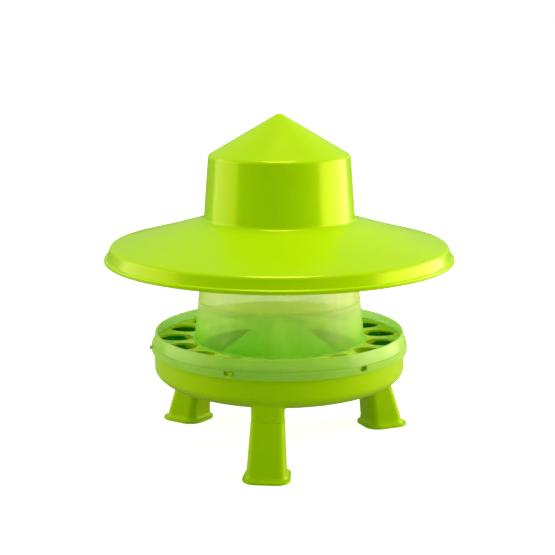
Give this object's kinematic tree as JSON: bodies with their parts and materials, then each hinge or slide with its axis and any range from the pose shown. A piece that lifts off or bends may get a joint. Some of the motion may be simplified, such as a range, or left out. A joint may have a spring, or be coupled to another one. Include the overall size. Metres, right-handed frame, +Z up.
{
  "type": "gravity poultry feeder",
  "caption": "Free-standing gravity poultry feeder: round trough on legs with a ported grille and guard ring, a translucent hopper and a wide lift-off rain hat.",
  "frame": {"origin": "on the ground under the centre of the feeder", "axes": "+Z up along the axis of the pan, hopper and hat; the front leg points along -Y; +X to the right seen from the front leg"},
  "size_m": [0.412, 0.4119, 0.3924],
  "materials": {
    "pan_lime": "gloss",
    "cone_lime": "gloss",
    "grille_lime": "gloss",
    "ring_clear": "gloss",
    "hopper_clear": "gloss",
    "hat_lime": "gloss",
    "leg_lime": "gloss"
  },
  "bodies": {
    "pan": {"feed_pan": "pan_lime", "spreading_cone": "cone_lime", "feed_grille": "grille_lime", "hopper_collar": "hopper_clear"},
    "guard_ring": {"guard_ring": "ring_clear"},
    "hopper_tube": {"hopper_tube": "hopper_clear"},
    "rain_hat": {"rain_hat": "hat_lime"},
    "front_leg": {"front_leg": "leg_lime"},
    "left_leg": {"left_leg": "leg_lime"},
    "right_leg": {"right_leg": "leg_lime"}
  },
  "joints": [
    {"name": "guard_ring_turn", "type": "hinge", "parent": "pan", "child": "guard_ring", "pos_m": [0, 0, 0.12], "axis": [0, 0, 1], "range_deg": [0, 2.5]},
    {"name": "hopper_tube_lift", "type": "slide", "parent": "pan", "child": "hopper_tube", "axis": [0, 0, 1], "range_m": [0, 0.18]},
    {"name": "rain_hat_lift", "type": "slide", "parent": "hopper_tube", "child": "rain_hat", "axis": [0, 0, 1], "range_m": [0, 0.16]},
    {"name": "front_leg_pull", "type": "slide", "parent": "pan", "child": "front_leg", "axis": [0, 0, -1], "range_m": [0, 0.03]},
    {"name": "left_leg_pull", "type": "slide", "parent": "pan", "child": "left_leg", "axis": [0, 0, -1], "range_m": [0, 0.03]},
    {"name": "right_leg_pull", "type": "slide", "parent": "pan", "child": "right_leg", "axis": [0, 0, -1], "range_m": [0, 0.03]}
  ]
}
